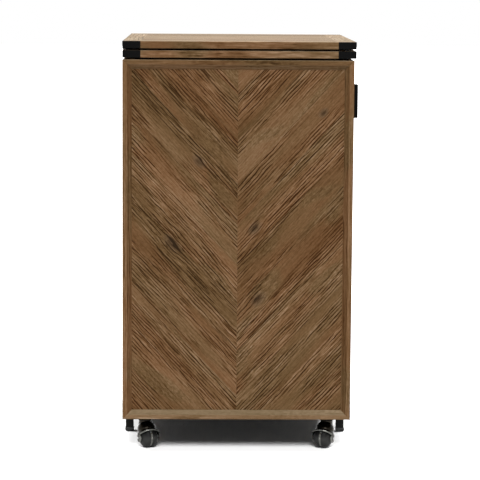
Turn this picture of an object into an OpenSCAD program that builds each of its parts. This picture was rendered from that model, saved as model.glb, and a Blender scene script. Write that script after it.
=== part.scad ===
// Bar cabinet that stands on four legs and two castors.
// The front third is a deep bottle door that swings out on the castors.
// The worktop is two leaves, and the upper one folds over to the left.
// Z is up, the chevron front of the door faces -Y, and the origin is on the
// floor below the middle of everything that sticks out.

/* [Overall] */
// Width across the two side faces
cabinet_w = 600; // [520:5:760]
// Height of the door box and of the cabinet box
box_h = 945; // [850:5:1100]
// Height of the boxes' underside above the floor
floor_gap = 86; // [82:1:100]
// Depth of the door box
door_d = 234; // [200:1:280]
// Depth of the cabinet box behind the door box
cabinet_d = 423; // [320:1:520]
// Gap between the door box and the cabinet box
division_gap = 3; // [2.5:0.1:4]

/* [Boards] */
// Thickness of the carcass boards
board_t = 18; // [15:0.5:22]
// Thickness of the chevron panel at the front of the door
panel_t = 12; // [9:0.5:16]
// Thickness of the shelves
shelf_t = 18; // [15:0.5:22]
// Clear height below the lower shelves
low_bay_h = 330; // [280:5:360]
// Clear height between the two shelves
mid_bay_h = 300; // [220:5:320]
// How far the cabinet's shelves stop short of its open front
shelf_setback = 20; // [10:1:60]

/* [Frame mouldings] */
// Depth of a moulding, which is how far the chevron panels lie back
frame_t = 12; // [8:0.5:16]
// Width of the flat outer band of a moulding
frame_flat = 12; // [10:0.5:20]
// Width of the sloping inner band of a moulding
frame_bevel = 12; // [6:0.5:20]
// Width of the eased outer edge of a moulding
arris = 1.5; // [0.5:0.1:2]

/* [Worktop] */
// Thickness of each leaf
leaf_t = 19; // [16:0.5:25]
// Gap below the lower leaf and between the leaves
leaf_gap = 5; // [4.5:0.1:7]
// How far the leaves pass the right side face
leaf_overhang = 5; // [0:1:15]
// Width of the mitred border around a leaf
border_w = 50; // [40:1:90]
// Radius of the leaves' corners, seen from above
leaf_corner_r = 3; // [2.5:0.5:4]
// Width of the eased edges of the leaves
leaf_arris = 1.2; // [0.5:0.1:2]
// Width of the spacer strips that carry the lower leaf
spacer_w = 40; // [20:1:60]
// How far the spacer strips lie in from the edges of the cabinet box
spacer_inset = 14; // [5:1:40]
// Radius of the rubber bumpers between the leaves
bumper_r = 6; // [4:0.5:10]
// How far the bumpers lie in from the leaf's edges
bumper_inset = 25; // [15:1:45]
// Radius of the pads on the door that carry the opened leaf
pad_r = 12; // [8:0.5:20]
// How far the pads lie in from the edges of the door box
pad_inset = 60; // [30:1:75]

/* [Corner straps] */
// Length of each leg of a corner strap
strap_l = 47; // [44:1:60]
// Thickness of a corner strap, let in flush
strap_t = 2; // [1.5:0.1:2.4]
// Distance from the corner to the first strap screw
strap_screw_near = 10; // [8:0.5:14]
// Distance from the corner to the second strap screw
strap_screw_far = 30; // [24:1:38]
// Radius of a strap screw's head
strap_head_r = 2.4; // [1.8:0.1:3]
// Length of a strap screw
strap_screw_l = 12; // [8:1:20]

/* [Leaf hinges] */
// Length of a leaf hinge
leaf_hinge_l = 60; // [45:1:80]
// Width of a leaf hinge plate
leaf_hinge_w = 22; // [16:1:35]
// Thickness of a leaf hinge plate, let in flush
leaf_hinge_t = 1.5; // [1:0.1:2]
// Radius of a leaf hinge pin
leaf_pin_r = 1.1; // [0.8:0.1:1.3]
// Distance from the leaf's front and rear edges to a hinge's middle
leaf_hinge_inset = 110; // [100:1:200]
// Distance from the leaf's left edge out to the hinge axis
leaf_axis_out = 1; // [0.8:0.1:1.5]

/* [Door hinges] */
// Length of a door hinge
door_hinge_l = 75; // [60:1:100]
// Width of a door hinge plate
door_hinge_w = 16; // [12:1:24]
// Radius of a door hinge's knuckles
door_knuckle_r = 3.2; // [2.8:0.1:4]
// Radius of a door hinge pin
door_pin_r = 1.5; // [1:0.1:2]
// Distance from the box's top and bottom to a hinge's middle
door_hinge_inset = 110; // [80:1:200]

/* [Handle] */
// Height of the pull handle
handle_h = 91; // [80:1:140]
// How far the handle stands out from the side face
handle_out = 26; // [22:0.5:40]
// Thickness of the handle's grip and of its two ends
handle_bar = 10; // [8:0.5:12]
// Width of the handle's bar
handle_w = 10; // [8:0.5:10]
// Radius of the handle's outer corners
handle_r = 3; // [1:0.5:4]
// Distance from the top of the box down to the handle
handle_drop = 72; // [40:1:200]

/* [Legs] */
// Width of a square leg
leg_w = 21; // [16:1:26]
// Width of the plate on top of a leg
flange_w = 60; // [45:1:70]
// Thickness of the plate on top of a leg
flange_t = 3; // [2:0.5:5]
// How much wider than the leg its glide is, on each side
glide_lip = 1.5; // [1:0.1:3]
// Height of a glide
glide_h = 10; // [7:0.5:14]
// Radius of the glide's rounded lower edge
glide_r = 7; // [2:0.5:7.5]
// How deep the leg stands in its glide
glide_socket = 5; // [3:0.5:6]

/* [Castors] */
// Distance from the side face to a castor's swivel axis
castor_inset_x = 57; // [55:1:90]
// Distance from the front face to a castor's swivel axis
castor_inset_y = 72; // [55:1:90]
// Distance from the swivel axis to the wheels' axle
castor_trail = 22; // [18:0.5:24]
// Angle by which the stored castors are turned from straight ahead
castor_turn = 64; // [0:1:90]
// Radius of the wheels
wheel_r = 27; // [24:0.5:28]
// Width of one wheel
wheel_w = 18.8; // [18.6:0.1:20]
// Radius of a wheel's rounded shoulder
shoulder_r = 18.2; // [16:0.2:18.6]
// Radius of an axle
axle_r = 3; // [2:0.1:4]
// Thickness of the web between the two wheels
web_t = 5; // [4:0.5:7]
// Gap between the wheels and the hood
hood_gap = 0.6; // [0.5:0.1:1.5]
// Thickness of the hood
hood_t = 1.8; // [1.5:0.1:3]
// Slope of the hood's rim
rim_tilt = 42; // [20:1:45]
// Height of the rim above the axle
rim_rise = 4.4; // [1:0.2:6]
// Radius of the hood's round cheeks, which hold the ends of the axle
cheek_r = 12.5; // [9:0.5:14]
// Radius of the bead around the rim
bead_r = 2.5; // [1:0.1:3]
// Radius of the hood's crown, between the dome and the swivel boss
crown_r = 25; // [18:0.5:26]
// Radius of the hood's swivel boss
boss_r = 16; // [13:0.5:18]
// Height of the swivel boss above the dome
boss_rise = 13; // [9:0.5:14]
// Radius of the kingpin
kingpin_r = 5; // [3.5:0.5:6]
// Width of the castor's top plate
castor_plate_w = 44; // [42:1:60]
// Thickness of the castor's top plate
castor_plate_t = 2.5; // [2:0.1:4]
// Radius of the cup below the top plate
cup_r = 17.5; // [14:0.5:18.5]

/* [Inside fittings] */
// Radius of the steel rods that hold the bottles
rod_r = 4; // [3:0.5:6]
// Height of a rod above its shelf
rod_height = 75; // [50:1:120]
// Distance from the door's open edge to a rod
rod_inset = 14; // [10:1:30]
// How deep a rod sits in the side boards
rod_socket = 6; // [3:0.5:10]
// Distance from one stemware rail to the next
stem_pitch = 88; // [80:1:100]
// Width of a stemware rail's lower flange
stem_flange_w = 62; // [50:1:70]
// Thickness of a stemware rail's flange
stem_flange_t = 6; // [4:0.5:8]
// Thickness of a stemware rail's web
stem_web_t = 12; // [8:0.5:16]
// Height of a stemware rail
stem_rail_h = 28; // [22:0.5:40]
// Number of stemware rails
stem_rails = 5; // [2:1:5]
// Radius of the catch magnets
magnet_r = 6; // [4:0.5:7]
// Depth of the catch magnets in the boards
magnet_depth = 10; // [6:0.5:16]
// Distance from the side face to the catch
catch_inset = 60; // [45:1:120]

/* [Fasteners] */
// Radius of a wood screw's shank
screw_r = 1.8; // [1.2:0.1:2.2]
// Radius of a screw's head
screw_head_r = 3.4; // [2.8:0.1:3.8]
// Height of a screw's head
screw_head_h = 2.2; // [1.5:0.1:3]
// How deep the castor screws go into the board
screw_grip = 13; // [8:0.5:14]

/* [Clearances] */
// Gap all round a turning pin
running = 0.05; // [0.02:0.01:0.1]
// Gap between pieces that move past each other
move_gap = 0.4; // [0.3:0.05:0.6]
// Gap between the door hinges' knuckles and the side faces
knuckle_gap = 0.3; // [0.2:0.05:0.5]
// Gap at the mitres, which keeps the lengths of a frame apart
mitre_gap = 0.1; // [0.05:0.01:0.2]

/* [Hidden] */
$fn = 64;

// Colours
weathered_oak = [0.46, 0.35, 0.24];
pale_oak = [0.58, 0.46, 0.33];
inside_oak = [0.50, 0.39, 0.27];
black_steel = [0.07, 0.07, 0.08];
bare_steel = [0.62, 0.62, 0.63];
gunmetal = [0.20, 0.19, 0.18];
dark_rubber = [0.13, 0.13, 0.13];

// Planes of the two boxes, measured from the middle of the front face
half_w = cabinet_w / 2;
cabinet_y = door_d + division_gap;
total_d = cabinet_y + cabinet_d;
box_top = floor_gap + box_h;
skin_x = half_w - frame_t;
inner_x = skin_x - board_t;
door_board_y = frame_t + panel_t;
back_y = total_d - frame_t;
back_board_y = back_y - board_t;
inner_low = floor_gap + board_t;
inner_top = box_top - board_t;
shelf_lows = [inner_low + low_bay_h, inner_low + low_bay_h + shelf_t + mid_bay_h];
bay_lows = [inner_low, shelf_lows[0] + shelf_t, shelf_lows[1] + shelf_t];

// Worktop
leaf_left = -half_w;
leaf_right = half_w + leaf_overhang;
leaf_w = leaf_right - leaf_left;
lower_leaf_z = box_top + leaf_gap;
upper_leaf_z = lower_leaf_z + leaf_t + leaf_gap;
leaf_axis_x = leaf_left - leaf_axis_out;
leaf_axis_z = upper_leaf_z - leaf_gap / 2;
leaf_knuckle_r = leaf_gap / 2 - move_gap / 2;
leaf_link = 0.2;
strap_shank_r = strap_head_r / 2;
strap_head_t = strap_t * 0.6;
strap_drive_r = strap_head_r * 0.4;
strap_drive_depth = strap_head_t * 0.7;
strap_side_near = strap_screw_l + strap_shank_r + 2 * move_gap;

// Heads of the hinge pins
pin_head_t = 0.8;
pin_head = 1.5;

// Door hinges
door_axis_out = door_knuckle_r + knuckle_gap;
door_link = 1;
door_axis_x = -half_w - door_axis_out;
door_axis_y = door_d + division_gap / 2;
door_hinge_t = (division_gap - move_gap) / 2;
door_hinge_zs = [
  floor_gap + door_hinge_inset,
  floor_gap + box_h / 2,
  box_top - door_hinge_inset
];

// The origin is below the middle of what sticks out at the left and right
x_mid = (handle_out - door_axis_out - door_knuckle_r) / 2;
y_mid = total_d / 2;

// Handle
handle_screw_gap = 0.2;
handle_y = door_d - arris - move_gap - handle_w / 2;
handle_low = box_top - handle_drop - handle_h;
handle_hole_r = screw_r + handle_screw_gap;

// Castors
castor_x = half_w - castor_inset_x;
web_gap = 0.7;
web_edge = 1.2;
wheel_in = web_t / 2 + web_gap;
wheel_out = wheel_in + wheel_w;
wheel_reach = norm([wheel_r - shoulder_r, wheel_out - shoulder_r]) + shoulder_r;
hood_in_r = wheel_reach + hood_gap;
hood_r = hood_in_r + hood_t;
hood_mid_r = hood_in_r + hood_t / 2;
bead_back = 0.3;
bead_reach = hood_in_r + bead_back + bead_r;
bead_mid_r = sqrt(bead_reach * bead_reach - rim_rise * rim_rise);
hood_top = wheel_r + hood_r;
neck_z = hood_top + 1;
neck_bulge = 0.8;
crown_y = 12;
crown_z = wheel_r + 18;
boss_top = hood_top + boss_rise;
plate_low = floor_gap - castor_plate_t;
plate_corner_r = 4;
plate_hole = castor_plate_w / 2 - 5;
web_r = wheel_r - web_edge;
web_half = axle_r + 3;
collar_r = axle_r + 2;
collar_end = hood_in_r - 1;
cap_r = axle_r + 1.2;
cap_t = 1.3;
cap_slope = 0.8;
king_head_r = kingpin_r + 2.5;
king_head_t = 3;
king_head_gap = 0.8;
pocket_h = 11;

// Catch
catch_out = (division_gap - 1.5 * move_gap) / 2;
catch_x = half_w - catch_inset;
catch_zs = [floor_gap + board_t / 2, box_top - board_t / 2];
catch_fit_r = magnet_r + 1;

// Places everything so that the origin is on the floor below the middle
module in_frame() {
  translate([-x_mid, -y_mid, 0]) children();
}

// A block between its lowest and highest corners
module block(low, high) {
  translate(low) cube(high - low);
}

// A square with rounded corners, drawn from its lower left corner
module round_square(size, r) {
  translate([r, 0]) square([size[0] - 2 * r, size[1]]);
  translate([0, r]) square([size[0], size[1] - 2 * r]);
  for (x = [r, size[0] - r])
    for (y = [r, size[1] - r])
      translate([x, y]) circle(r);
}

// A length of moulding along +X with mitred ends, its outer edge at y = 0
module moulding(length) {
  band = frame_flat + frame_bevel;
  pull = mitre_gap / 2;
  intersection() {
    rotate([90, 0, 90])
      linear_extrude(length)
        polygon([
          [0, 0],
          [band, 0],
          [frame_flat, frame_t],
          [arris, frame_t],
          [0, frame_t - arris]
        ]);
    translate([0, 0, -1])
      linear_extrude(frame_t + 2)
        polygon([
          [pull, 0],
          [length - pull, 0],
          [length - band - pull, band],
          [band + pull, band]
        ]);
  }
}

// One side of a mitred frame: 0 is the bottom, 1 the right, 2 the top, 3 the left
module frame_length(side, w, h) {
  if (side == 0) moulding(w);
  if (side == 1) translate([w, 0, 0]) rotate(90) moulding(h);
  if (side == 2) translate([w, h, 0]) rotate(180) moulding(w);
  if (side == 3) translate([0, h, 0]) rotate(270) moulding(h);
}

// All four lengths of a frame
module full_frame(w, h) {
  for (side = [0 : 3]) frame_length(side, w, h);
}

// Turns a frame that lies flat so that it faces the front, left, right or back
module facing_front() {
  translate([-half_w, frame_t, floor_gap]) rotate([90, 0, 0]) children();
}

module facing_left(rear_y) {
  translate([-skin_x, rear_y, floor_gap]) rotate([90, 0, -90]) children();
}

module facing_right(front_y) {
  translate([skin_x, front_y, floor_gap]) rotate([90, 0, 90]) children();
}

module facing_back() {
  translate([half_w, back_y, floor_gap]) rotate([90, 0, 180]) children();
}

// Every second knuckle of a hinge along +Z, from the first or the second one
module knuckles(first, count, length, r, pin_r) {
  step = length / count;
  for (i = [first : 2 : count - 1])
    translate([0, 0, i * step + move_gap / 2])
      difference() {
        cylinder(h = step - move_gap, r = r);
        translate([0, 0, -1]) cylinder(h = step + 2, r = pin_r + running);
      }
}

// What joins each of those knuckles to its plate, drawn in plan
module knuckle_links(first, count, length, low, high) {
  step = length / count;
  for (i = [first : 2 : count - 1])
    block(
      [low[0], low[1], i * step + move_gap / 2],
      [high[0], high[1], (i + 1) * step - move_gap / 2]
    );
}

// A hinge pin along +Z with a small head at each end
module hinge_pin(length, r) {
  cylinder(h = length, r = r);
  for (z = [-pin_head_t, length])
    translate([0, 0, z]) cylinder(h = pin_head_t, r = r * pin_head);
}

// Door box
module door_panel() {
  color(weathered_oak)
    in_frame()
      block([-skin_x, frame_t, floor_gap], [skin_x, door_board_y, box_top]);
}

module door_front_length(side) {
  color(weathered_oak)
    in_frame()
      facing_front()
        frame_length(side, cabinet_w, box_h);
}

module door_frame_bottom() door_front_length(0);
module door_frame_right() door_front_length(1);
module door_frame_top() door_front_length(2);
module door_frame_left() door_front_length(3);

module door_left_side_frame() {
  color(weathered_oak)
    in_frame()
      facing_left(door_d)
        full_frame(door_d - frame_t, box_h);
}

module door_right_side_frame() {
  color(weathered_oak)
    in_frame()
      difference() {
        facing_right(frame_t)
          full_frame(door_d - frame_t, box_h);
        handle_holes();
      }
}

module handle_holes() {
  for (z = handle_screw_zs())
    translate([inner_x - 1, handle_y, z])
      rotate([0, 90, 0])
        cylinder(h = half_w - inner_x + 2, r = handle_hole_r);
}

function handle_screw_zs() =
  [handle_low + handle_bar / 2, handle_low + handle_h - handle_bar / 2];

// Sockets in the side boards for the bottle rods
module rod_sockets() {
  for (z = bay_lows)
    translate([-inner_x - rod_socket, door_d - rod_inset, z + rod_height])
      rotate([0, 90, 0])
        cylinder(h = 2 * (inner_x + rod_socket), r = rod_r);
}

module door_side_left() {
  color(inside_oak)
    in_frame()
      difference() {
        block([-skin_x, door_board_y, floor_gap], [-inner_x, door_d, box_top]);
        rod_sockets();
      }
}

module door_side_right() {
  color(inside_oak)
    in_frame()
      difference() {
        block([inner_x, door_board_y, floor_gap], [skin_x, door_d, box_top]);
        rod_sockets();
        handle_holes();
      }
}

module door_top_board() {
  color(inside_oak)
    in_frame()
      difference() {
        block([-inner_x, door_board_y, inner_top], [inner_x, door_d, box_top]);
        catch_strike_row();
      }
}

module door_bottom_board() {
  color(inside_oak)
    in_frame()
      difference() {
        block([-inner_x, door_board_y, floor_gap], [inner_x, door_d, inner_low]);
        catch_strike_row();
        castor_screw_shanks();
      }
}

module door_shelves() {
  color(inside_oak)
    in_frame()
      for (z = shelf_lows)
        block([-inner_x, door_board_y, z], [inner_x, door_d, z + shelf_t]);
}

module bottle_rails() {
  color(black_steel)
    in_frame()
      rod_sockets();
}

module door_handle() {
  color(black_steel)
    in_frame()
      translate([half_w, handle_y + handle_w / 2, handle_low])
        difference() {
          rotate([90, 0, 0])
            linear_extrude(handle_w)
              difference() {
                union() {
                  round_square([handle_out, handle_h], handle_r);
                  square([handle_out - handle_r, handle_h]);
                }
                translate([-handle_bar, handle_bar])
                  round_square([handle_out, handle_h - 2 * handle_bar], handle_r);
              }
          for (z = handle_screw_zs())
            translate([-1, -handle_w / 2, z - handle_low])
              rotate([0, 90, 0])
                cylinder(h = handle_bar + 1, r = screw_r);
        }
}

module handle_screws() {
  color(bare_steel)
    in_frame()
      for (z = handle_screw_zs())
        translate([inner_x, handle_y, z])
          rotate([0, 90, 0]) {
            cylinder(h = half_w - inner_x + handle_bar, r = screw_r);
            translate([0, 0, -screw_head_h])
              cylinder(h = screw_head_h, r = screw_head_r);
          }
}

module catch_strike_row() {
  for (z = catch_zs)
    translate([catch_x, door_d + catch_out, z])
      rotate([90, 0, 0])
        cylinder(h = magnet_depth / 2 + catch_out, r = catch_fit_r);
}

module catch_strikes() {
  color(bare_steel)
    in_frame()
      catch_strike_row();
}

module leaf_support_pads() {
  color(dark_rubber)
    in_frame()
      for (x = [-half_w + pad_inset, half_w - pad_inset])
        for (y = [pad_inset, door_d - pad_inset])
          translate([x, y, box_top])
            cylinder(h = leaf_gap - move_gap, r = pad_r);
}

// Door hinges
module at_door_hinges() {
  for (z = door_hinge_zs)
    translate([door_axis_x, door_axis_y, z - door_hinge_l / 2]) children();
}

module door_hinge_leaves() {
  color(black_steel)
    in_frame()
      at_door_hinges() {
        difference() {
          union() {
            block(
              [door_axis_out, -division_gap / 2, 0],
              [door_axis_out + door_hinge_w, -division_gap / 2 + door_hinge_t, door_hinge_l]
            );
            knuckle_links(
              1, 5, door_hinge_l,
              [0, -division_gap / 2],
              [door_axis_out + door_link, -division_gap / 2 + door_hinge_t]
            );
          }
          translate([0, 0, -1])
            cylinder(h = door_hinge_l + 2, r = door_pin_r + running);
        }
        knuckles(1, 5, door_hinge_l, door_knuckle_r, door_pin_r);
      }
}

module cabinet_hinge_leaves() {
  color(black_steel)
    in_frame()
      at_door_hinges() {
        difference() {
          union() {
            block(
              [door_axis_out, division_gap / 2 - door_hinge_t, 0],
              [door_axis_out + door_hinge_w, division_gap / 2, door_hinge_l]
            );
            knuckle_links(
              0, 5, door_hinge_l,
              [0, division_gap / 2 - door_hinge_t],
              [door_axis_out + door_link, division_gap / 2]
            );
          }
          translate([0, 0, -1])
            cylinder(h = door_hinge_l + 2, r = door_pin_r + running);
        }
        knuckles(0, 5, door_hinge_l, door_knuckle_r, door_pin_r);
      }
}

module door_hinge_pins() {
  color(bare_steel)
    in_frame()
      at_door_hinges()
        hinge_pin(door_hinge_l, door_pin_r);
}

// Castors: side is -1 for the left one and 1 for the right one
module at_castor(side) {
  translate([side * castor_x, castor_inset_y, 0]) children();
}

module at_castors() {
  for (side = [-1, 1]) at_castor(side) children();
}

// The swivelled castor frame: +X along the axle, +Y from the swivel to the axle
module turned(side) {
  at_castor(side)
    rotate(side < 0 ? 270 - castor_turn : 90 + castor_turn)
      children();
}

module at_plate_holes() {
  for (x = [-plate_hole, plate_hole])
    for (y = [-plate_hole, plate_hole])
      translate([x, y, plate_low]) children();
}

module castor_screw_shanks() {
  at_castors()
    at_plate_holes()
      cylinder(h = castor_plate_t + screw_grip, r = screw_r);
}

module castor_screws() {
  color(bare_steel)
    in_frame() {
      castor_screw_shanks();
      at_castors()
        at_plate_holes()
          translate([0, 0, -screw_head_h])
            cylinder(h = screw_head_h, r = screw_head_r);
    }
}

module castor_plates() {
  color(gunmetal)
    in_frame()
      difference() {
        at_castors() {
          translate([-castor_plate_w / 2, -castor_plate_w / 2, plate_low])
            linear_extrude(castor_plate_t)
              round_square([castor_plate_w, castor_plate_w], plate_corner_r);
          translate([0, 0, boss_top + move_gap])
            cylinder(h = plate_low - boss_top, r = cup_r);
        }
        castor_screw_shanks();
        at_castors()
          cylinder(h = floor_gap + 1, r = kingpin_r);
      }
}

module castor_kingpins() {
  color(bare_steel)
    in_frame()
      at_castors() {
        translate([0, 0, hood_top - move_gap])
          cylinder(h = floor_gap - hood_top + move_gap, r = kingpin_r);
        translate([0, 0, hood_top - move_gap - king_head_t])
          cylinder(h = king_head_t, r = king_head_r);
      }
}

// A round bar along the axle, longer than the hood is wide
module along_axle(r) {
  rotate([0, 90, 0]) cylinder(h = 3 * hood_r, r = r, center = true);
}

// What is open below the sloping rim of a hood, around the wheels' centre
module below_rim() {
  wide = hood_r + boss_r;
  difference() {
    rotate([rim_tilt, 0, 0])
      translate([-wide, -wide, rim_rise - 3 * hood_r])
        cube([2 * wide, 2 * wide, 3 * hood_r]);
    along_axle(cheek_r);
  }
}

// The bead along the open side of the rim, which ends at the cheeks
module rim_bead() {
  difference() {
    rotate([rim_tilt, 0, 0])
      translate([0, 0, rim_rise])
        rotate_extrude(angle = 180)
          translate([bead_mid_r, 0])
            circle(bead_r);
    along_axle(cheek_r);
  }
}

// The dome over the wheels with its crown, its sloping neck and its swivel boss
module hood_shell() {
  centre = [0, castor_trail, wheel_r];
  neck = [castor_trail, neck_z - wheel_r];
  difference() {
    union() {
      translate(centre) sphere(hood_r);
      translate([0, crown_y, crown_z]) sphere(crown_r);
      translate([0, 0, neck_z]) {
        cylinder(h = boss_top - neck_z, r = boss_r);
        sphere(boss_r + neck_bulge);
        rotate([180 + atan2(neck[0], neck[1]), 0, 0])
          cylinder(h = norm(neck), r = boss_r);
      }
    }
    translate(centre) sphere(hood_in_r);
    translate(centre) below_rim();
    translate([0, 0, boss_top]) cylinder(h = boss_r, r = 2 * boss_r);
  }
}

// A hood with the swivel axis at the origin and the axle along X
module hood() {
  centre = [0, castor_trail, wheel_r];
  difference() {
    union() {
      hood_shell();
      translate(centre) rim_bead();
      translate(centre)
        rotate([0, 90, 0])
          cylinder(h = web_t, r = web_r, center = true);
      translate(centre)
        translate([-web_t / 2, -web_half, 0])
          cube([web_t, 2 * web_half, hood_mid_r]);
    }
    translate([0, 0, hood_top - 1])
      cylinder(h = boss_rise + 2, r = kingpin_r + running);
    translate([0, 0, hood_top - pocket_h])
      cylinder(h = pocket_h, r = king_head_r + king_head_gap);
    translate(centre) along_axle(axle_r);
  }
}

module left_castor_hood() {
  color(gunmetal) in_frame() turned(-1) hood();
}

module right_castor_hood() {
  color(gunmetal) in_frame() turned(1) hood();
}

// An axle with a collar outside each wheel and a cap outside each cheek
module axle() {
  collar = wheel_out + move_gap;
  translate([0, castor_trail, wheel_r])
    rotate([0, 90, 0]) {
      cylinder(h = 2 * hood_r + cap_t, r = axle_r, center = true);
      for (end = [-1, 1])
        scale([1, 1, end]) {
          translate([0, 0, collar]) cylinder(h = collar_end - collar, r = collar_r);
          translate([0, 0, hood_r]) cylinder(h = cap_t, r1 = cap_r, r2 = cap_r - cap_slope);
        }
    }
}

module left_castor_axle() {
  color(bare_steel) in_frame() turned(-1) axle();
}

module right_castor_axle() {
  color(bare_steel) in_frame() turned(1) axle();
}

// Half section of a wheel: x is the radius, y runs out from the web
module wheel_section() {
  bore_r = axle_r + running;
  intersection() {
    translate([bore_r, 0]) square([wheel_r - bore_r, wheel_w]);
    union() {
      square([wheel_r, wheel_w - shoulder_r]);
      square([wheel_r - shoulder_r, wheel_w]);
      translate([wheel_r - shoulder_r, wheel_w - shoulder_r]) circle(shoulder_r);
    }
  }
}

// A wheel on the +X side of the web for out = 1 and on the -X side for out = -1
module wheel(out) {
  translate([0, castor_trail, wheel_r])
    rotate([0, out * 90, 0])
      translate([0, 0, wheel_in])
        rotate_extrude()
          wheel_section();
}

module left_castor_front_wheel() {
  color(dark_rubber) in_frame() turned(-1) wheel(1);
}

module left_castor_rear_wheel() {
  color(dark_rubber) in_frame() turned(-1) wheel(-1);
}

module right_castor_front_wheel() {
  color(dark_rubber) in_frame() turned(1) wheel(-1);
}

module right_castor_rear_wheel() {
  color(dark_rubber) in_frame() turned(1) wheel(1);
}

// Cabinet box
module cabinet_side_left() {
  color(inside_oak)
    in_frame()
      block([-skin_x, cabinet_y, floor_gap], [-inner_x, back_board_y, box_top]);
}

module cabinet_side_right() {
  color(inside_oak)
    in_frame()
      block([inner_x, cabinet_y, floor_gap], [skin_x, back_board_y, box_top]);
}

module cabinet_top_board() {
  color(inside_oak)
    in_frame()
      difference() {
        block([-inner_x, cabinet_y, inner_top], [inner_x, back_board_y, box_top]);
        catch_magnet_row();
      }
}

module cabinet_bottom_board() {
  color(inside_oak)
    in_frame()
      difference() {
        block([-inner_x, cabinet_y, floor_gap], [inner_x, back_board_y, inner_low]);
        catch_magnet_row();
      }
}

module cabinet_back_board() {
  color(inside_oak)
    in_frame()
      block([-skin_x, back_board_y, floor_gap], [skin_x, back_y, box_top]);
}

module cabinet_shelves() {
  color(inside_oak)
    in_frame()
      for (z = shelf_lows)
        block(
          [-inner_x, cabinet_y + shelf_setback, z],
          [inner_x, back_board_y, z + shelf_t]
        );
}

module left_side_frame() {
  color(weathered_oak)
    in_frame()
      facing_left(back_y)
        full_frame(back_y - cabinet_y, box_h);
}

module right_side_frame() {
  color(weathered_oak)
    in_frame()
      facing_right(cabinet_y)
        full_frame(back_y - cabinet_y, box_h);
}

module back_frame() {
  color(weathered_oak)
    in_frame()
      facing_back()
        full_frame(cabinet_w, box_h);
}

module stemware_rails() {
  color(inside_oak)
    in_frame()
      for (i = [0 : stem_rails - 1])
        translate([(i - (stem_rails - 1) / 2) * stem_pitch, back_board_y, inner_top])
          rotate([90, 0, 0])
            linear_extrude(back_board_y - cabinet_y - shelf_setback) {
              translate([-stem_web_t / 2, -stem_rail_h])
                square([stem_web_t, stem_rail_h]);
              translate([-stem_flange_w / 2, -stem_rail_h])
                square([stem_flange_w, stem_flange_t]);
            }
}

module catch_magnet_row() {
  for (z = catch_zs)
    translate([catch_x, cabinet_y + magnet_depth, z])
      rotate([90, 0, 0])
        cylinder(h = magnet_depth + catch_out, r = magnet_r);
}

module catch_magnets() {
  color(bare_steel)
    in_frame()
      catch_magnet_row();
}

// Legs: x_side is -1 or 1, and y_end is -1 at the front and 1 at the rear
module at_leg(x_side, y_end) {
  x = x_side * half_w;
  y = y_end < 0 ? cabinet_y + glide_lip : total_d - glide_lip;
  translate([x, y, 0]) scale([-x_side, -y_end, 1]) children();
}

module leg(x_side, y_end) {
  color(black_steel)
    in_frame()
      at_leg(x_side, y_end) {
        translate([0, 0, glide_h - glide_socket])
          cube([leg_w, leg_w, floor_gap - glide_h + glide_socket]);
        translate([0, 0, floor_gap - flange_t])
          cube([flange_w, flange_w, flange_t]);
      }
}

module front_left_leg() leg(-1, -1);
module front_right_leg() leg(1, -1);
module rear_left_leg() leg(-1, 1);
module rear_right_leg() leg(1, 1);

// Outline of a glide from one side, square at the top and round at the bottom
module glide_outline(w) {
  translate([0, glide_r]) square([w, glide_h - glide_r]);
  translate([glide_r, 0]) square([w - 2 * glide_r, glide_h]);
  for (x = [glide_r, w - glide_r])
    translate([x, glide_r]) circle(glide_r);
}

module leg_glides() {
  w = leg_w + 2 * glide_lip;
  color(dark_rubber)
    in_frame()
      for (x_side = [-1, 1])
        for (y_end = [-1, 1])
          at_leg(x_side, y_end)
            difference() {
              translate([-glide_lip, -glide_lip, 0])
                intersection() {
                  translate([0, w, 0]) rotate([90, 0, 0]) linear_extrude(w) glide_outline(w);
                  rotate([90, 0, 90]) linear_extrude(w) glide_outline(w);
                }
              translate([0, 0, glide_h - glide_socket])
                cube([leg_w, leg_w, glide_h]);
            }
}

// Worktop
module worktop_spacers() {
  first = cabinet_y + spacer_inset;
  last = total_d - spacer_inset - spacer_w;
  color(inside_oak)
    in_frame()
      for (y = [first, (first + last) / 2, last])
        block(
          [-half_w + spacer_inset, y, box_top],
          [half_w - spacer_inset, y + spacer_w, lower_leaf_z]
        );
}

// A rectangle with eased corners, as wide and high as size
module eased_square(size, ease) {
  polygon([
    [ease, 0],
    [size[0] - ease, 0],
    [size[0], ease],
    [size[0], size[1] - ease],
    [size[0] - ease, size[1]],
    [ease, size[1]],
    [0, size[1] - ease],
    [0, ease]
  ]);
}

// The outer shape of a whole leaf, from its front left lower corner
module leaf_shape() {
  intersection() {
    linear_extrude(leaf_t)
      round_square([leaf_w, total_d], leaf_corner_r);
    translate([0, total_d + 1, 0])
      rotate([90, 0, 0])
        linear_extrude(total_d + 2)
          eased_square([leaf_w, leaf_t], leaf_arris);
    translate([-1, 0, 0])
      rotate([90, 0, 90])
        linear_extrude(leaf_w + 2)
          eased_square([total_d, leaf_t], leaf_arris);
  }
}

// The corner blocks that hold the straps, drawn above and below the leaf too
module strap_zones() {
  for (x = [-1, leaf_w - strap_l])
    for (y = [-1, total_d - strap_l])
      translate([x, y, -1])
        cube([strap_l + 1, strap_l + 1, leaf_t + 2]);
}

// What is left of a leaf inside the straps
module strap_backing() {
  translate([strap_t, strap_t, -2])
    linear_extrude(leaf_t + 4)
      round_square([leaf_w - 2 * strap_t, total_d - 2 * strap_t], leaf_corner_r - strap_t);
}

module strap_set() {
  difference() {
    intersection() {
      leaf_shape();
      strap_zones();
    }
    strap_backing();
    strap_screw_set(false);
  }
}

// One strap screw along +Z, its head flush at z = 0
module strap_screw(drive) {
  difference() {
    union() {
      cylinder(h = strap_head_t, r = strap_head_r);
      cylinder(h = strap_screw_l, r = strap_shank_r);
    }
    if (drive)
      translate([0, 0, -1])
        cylinder(h = 1 + strap_drive_depth, r = strap_drive_r, $fn = 6);
  }
}

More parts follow.
